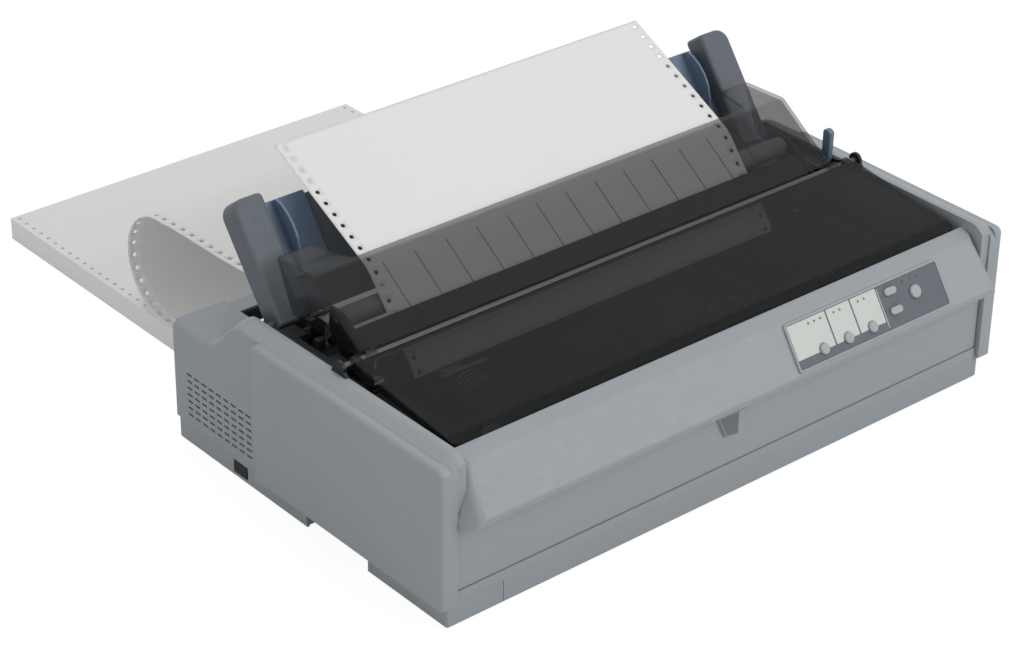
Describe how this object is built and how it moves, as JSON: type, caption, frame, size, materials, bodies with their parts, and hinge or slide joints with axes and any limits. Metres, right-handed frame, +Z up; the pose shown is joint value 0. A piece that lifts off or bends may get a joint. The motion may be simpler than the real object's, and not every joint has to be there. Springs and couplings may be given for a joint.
{
  "type": "dot matrix printer",
  "caption": "Wide-carriage dot matrix printer with hinged smoked covers, leaning paper guide, pin tractors, moving print head and a web of paper from a folded stack.",
  "frame": {"origin": "on the table under the middle of the printer's lower case, at the middle foot", "axes": "+X to the right of someone facing the printer's front, +Y from the front to the rear, +Z up"},
  "size_m": [0.6486, 0.7883, 0.2607],
  "materials": {
    "case_plastic": "fine-grained grey moulding",
    "guide_plastic": "fine-grained dark grey moulding",
    "smoked_plastic": "smoked see-through moulding",
    "navy_plastic": "satin",
    "dark_plastic": "satin",
    "button_plastic": "satin",
    "lamp_plastic": "clear dome",
    "nylon": "natural nylon",
    "sheet_steel": "zinc plated",
    "shaft_steel": "ground",
    "black_rubber": "ground rubber",
    "ribbon_fabric": "inked woven nylon",
    "circuit_board": "solder mask",
    "paper": "uncoated"
  },
  "bodies": {
    "case": {"lower_case": "case_plastic", "feet": "black_rubber", "upper_case": "case_plastic", "hinge_rod": "shaft_steel", "control_panel": "dark_plastic", "panel_lamps": "lamp_plastic", "power_inlet": "dark_plastic", "interface_port": "sheet_steel", "base_frame": "sheet_steel", "side_frame_left": "sheet_steel", "side_frame_right": "sheet_steel", "feed_motor": "sheet_steel", "support_shaft": "shaft_steel", "guide_shaft": "shaft_steel", "carriage_motor": "sheet_steel", "drive_belt": "black_rubber", "ribbon_cartridge": "dark_plastic", "ribbon": "ribbon_fabric", "tension_frame": "dark_plastic", "mainboard": "circuit_board", "power_supply": "sheet_steel", "base_screws": "sheet_steel", "paper_web": "paper", "paper_stack": "paper"},
    "front_door": {"front_door": "case_plastic"},
    "printer_cover": {"printer_cover": "smoked_plastic"},
    "guide_flap": {"guide_flap": "smoked_plastic"},
    "paper_guide": {"paper_guide": "guide_plastic"},
    "edge_guide_left": {"edge_guide_left": "navy_plastic"},
    "edge_guide_right": {"edge_guide_right": "navy_plastic"},
    "power_switch": {"power_switch": "dark_plastic"},
    "platen": {"platen": "black_rubber", "platen_shaft": "shaft_steel", "platen_gear": "nylon", "paper_knob": "dark_plastic"},
    "idler_gear_front": {"idler_gear_front": "nylon"},
    "idler_gear_rear": {"idler_gear_rear": "nylon"},
    "motor_pinion": {"motor_pinion": "nylon"},
    "tractor_drive": {"tractor_shaft": "shaft_steel", "tractor_gear": "nylon"},
    "tractor_left": {"tractor_left": "dark_plastic"},
    "tractor_right": {"tractor_right": "dark_plastic"},
    "sprocket_left": {"sprocket_left": "nylon"},
    "sprocket_right": {"sprocket_right": "nylon"},
    "tractor_lid_left": {"tractor_lid_left": "dark_plastic"},
    "tractor_lid_right": {"tractor_lid_right": "dark_plastic"},
    "carriage": {"carriage": "dark_plastic", "print_head": "sheet_steel"},
    "drive_pulley": {"drive_pulley": "nylon"},
    "idler_pulley": {"idler_pulley": "nylon"},
    "ribbon_knob": {"ribbon_knob": "nylon"},
    "exit_roller": {"exit_roller": "dark_plastic"},
    "release_lever": {"release_lever": "navy_plastic"},
    "gap_lever": {"gap_lever": "dark_plastic"},
    "button_left": {"button_left": "button_plastic"},
    "button_middle": {"button_middle": "button_plastic"},
    "button_right": {"button_right": "button_plastic"},
    "button_round": {"button_round": "button_plastic"},
    "button_oval_top": {"button_oval_top": "button_plastic"},
    "button_oval_low": {"button_oval_low": "button_plastic"}
  },
  "joints": [
    {"name": "front_door_hinge", "type": "hinge", "parent": "case", "child": "front_door", "pos_m": [0, -0.182, 0.037], "axis": [1, 0, 0], "range_deg": [0, 85]},
    {"name": "printer_cover_hinge", "type": "hinge", "parent": "case", "child": "printer_cover", "pos_m": [0, -0.0306, 0.163], "axis": [-1, 0, 0], "range_deg": [0, 72]},
    {"name": "guide_flap_hinge", "type": "hinge", "parent": "case", "child": "guide_flap", "pos_m": [0, -0.0306, 0.163], "axis": [1, 0, 0], "range_deg": [0, 50]},
    {"name": "paper_guide_tilt", "type": "hinge", "parent": "case", "child": "paper_guide", "pos_m": [0, 0.0769, 0.1492], "axis": [-1, 0, 0], "range_deg": [0, 30]},
    {"name": "edge_guide_left_slide", "type": "slide", "parent": "paper_guide", "child": "edge_guide_left", "axis": [1, 0, 0], "range_m": [-0.005, 0.06]},
    {"name": "edge_guide_right_slide", "type": "slide", "parent": "paper_guide", "child": "edge_guide_right", "axis": [1, 0, 0], "range_m": [-0.06, 0.005]},
    {"name": "power_switch_rock", "type": "hinge", "parent": "case", "child": "power_switch", "pos_m": [-0.3, 0.09225, 0], "axis": [0, 0, 1], "range_deg": [-6, 6]},
    {"name": "platen_turn", "type": "hinge", "parent": "case", "child": "platen", "pos_m": [0, -0.008, 0.118], "axis": [1, 0, 0], "continuous": true},
    {"name": "idler_gear_front_turn", "type": "hinge", "parent": "case", "child": "idler_gear_front", "pos_m": [0, 0.03094, 0.10227], "axis": [1, 0, 0], "continuous": true},
    {"name": "idler_gear_rear_turn", "type": "hinge", "parent": "case", "child": "idler_gear_rear", "pos_m": [0, 0.0741, 0.0937], "axis": [1, 0, 0], "continuous": true},
    {"name": "motor_pinion_turn", "type": "hinge", "parent": "case", "child": "motor_pinion", "pos_m": [0, 0.02512, 0.07488], "axis": [1, 0, 0], "continuous": true},
    {"name": "tractor_drive_turn", "type": "hinge", "parent": "case", "child": "tractor_drive", "pos_m": [0, 0.112, 0.10483], "axis": [1, 0, 0], "continuous": true},
    {"name": "tractor_left_slide", "type": "slide", "parent": "case", "child": "tractor_left", "axis": [1, 0, 0], "range_m": [-0.028, 0.005]},
    {"name": "tractor_right_slide", "type": "slide", "parent": "case", "child": "tractor_right", "axis": [1, 0, 0], "range_m": [-0.005, 0.045]},
    {"name": "sprocket_left_turn", "type": "hinge", "parent": "tractor_left", "child": "sprocket_left", "pos_m": [0, 0.112, 0.10483], "axis": [1, 0, 0], "continuous": true},
    {"name": "sprocket_right_turn", "type": "hinge", "parent": "tractor_right", "child": "sprocket_right", "pos_m": [0, 0.112, 0.10483], "axis": [1, 0, 0], "continuous": true},
    {"name": "tractor_lid_left_hinge", "type": "hinge", "parent": "tractor_left", "child": "tractor_lid_left", "pos_m": [-0.22305, 0.13, 0.1218], "axis": [0, -1, 0], "range_deg": [0, 100]},
    {"name": "tractor_lid_right_hinge", "type": "hinge", "parent": "tractor_right", "child": "tractor_lid_right", "pos_m": [0.20265, 0.13, 0.1218], "axis": [0, 1, 0], "range_deg": [0, 100]},
    {"name": "carriage_slide", "type": "slide", "parent": "case", "child": "carriage", "axis": [1, 0, 0], "range_m": [-0.02, 0.37]},
    {"name": "drive_pulley_turn", "type": "hinge", "parent": "case", "child": "drive_pulley", "pos_m": [0.242, -0.1, 0.088], "axis": [0, 0, 1], "range_deg": [-2400, 200]},
    {"name": "idler_pulley_turn", "type": "hinge", "parent": "case", "child": "idler_pulley", "pos_m": [-0.242, -0.1, 0.088], "axis": [0, 0, 1], "range_deg": [-2400, 200]},
    {"name": "ribbon_knob_turn", "type": "hinge", "parent": "case", "child": "ribbon_knob", "pos_m": [-0.225, -0.142, 0.124], "axis": [0, 0, 1], "continuous": true},
    {"name": "exit_roller_turn", "type": "hinge", "parent": "case", "child": "exit_roller", "pos_m": [0, 0.024, 0.168], "axis": [1, 0, 0], "continuous": true},
    {"name": "release_lever_swing", "type": "hinge", "parent": "case", "child": "release_lever", "pos_m": [0, 0.003, 0.131], "axis": [-1, 0, 0], "range_deg": [0, 25]},
    {"name": "gap_lever_swing", "type": "hinge", "parent": "case", "child": "gap_lever", "pos_m": [0, 0.022, 0.13], "axis": [1, 0, 0], "range_deg": [-12, 12]},
    {"name": "button_left_press", "type": "slide", "parent": "case", "child": "button_left", "axis": [0, 0.8288, -0.5595], "range_m": [0, 0.0012], "stiffness_N_per_m": 300, "springref_m": -0.001},
    {"name": "button_middle_press", "type": "slide", "parent": "case", "child": "button_middle", "axis": [0, 0.8288, -0.5595], "range_m": [0, 0.0012], "stiffness_N_per_m": 300, "springref_m": -0.001},
    {"name": "button_right_press", "type": "slide", "parent": "case", "child": "button_right", "axis": [0, 0.8288, -0.5595], "range_m": [0, 0.0012], "stiffness_N_per_m": 300, "springref_m": -0.001},
    {"name": "button_round_press", "type": "slide", "parent": "case", "child": "button_round", "axis": [0, 0.8288, -0.5595], "range_m": [0, 0.0012], "stiffness_N_per_m": 300, "springref_m": -0.001},
    {"name": "button_oval_top_press", "type": "slide", "parent": "case", "child": "button_oval_top", "axis": [0, 0.8288, -0.5595], "range_m": [0, 0.0012], "stiffness_N_per_m": 300, "springref_m": -0.001},
    {"name": "button_oval_low_press", "type": "slide", "parent": "case", "child": "button_oval_low", "axis": [0, 0.8288, -0.5595], "range_m": [0, 0.0012], "stiffness_N_per_m": 300, "springref_m": -0.001}
  ],
  "couplings": [
    {"joint": "idler_gear_front_turn", "follows": "platen_turn", "ratio": -0.90909},
    {"joint": "idler_gear_rear_turn", "follows": "platen_turn", "ratio": 0.90909},
    {"joint": "motor_pinion_turn", "follows": "platen_turn", "ratio": 3.3333},
    {"joint": "tractor_drive_turn", "follows": "platen_turn", "ratio": -1.1429},
    {"joint": "sprocket_left_turn", "follows": "platen_turn", "ratio": -1.1429},
    {"joint": "sprocket_right_turn", "follows": "platen_turn", "ratio": -1.1429},
    {"joint": "drive_pulley_turn", "follows": "carriage_slide", "rad_per_m": -102.56},
    {"joint": "idler_pulley_turn", "follows": "carriage_slide", "rad_per_m": -102.56}
  ]
}
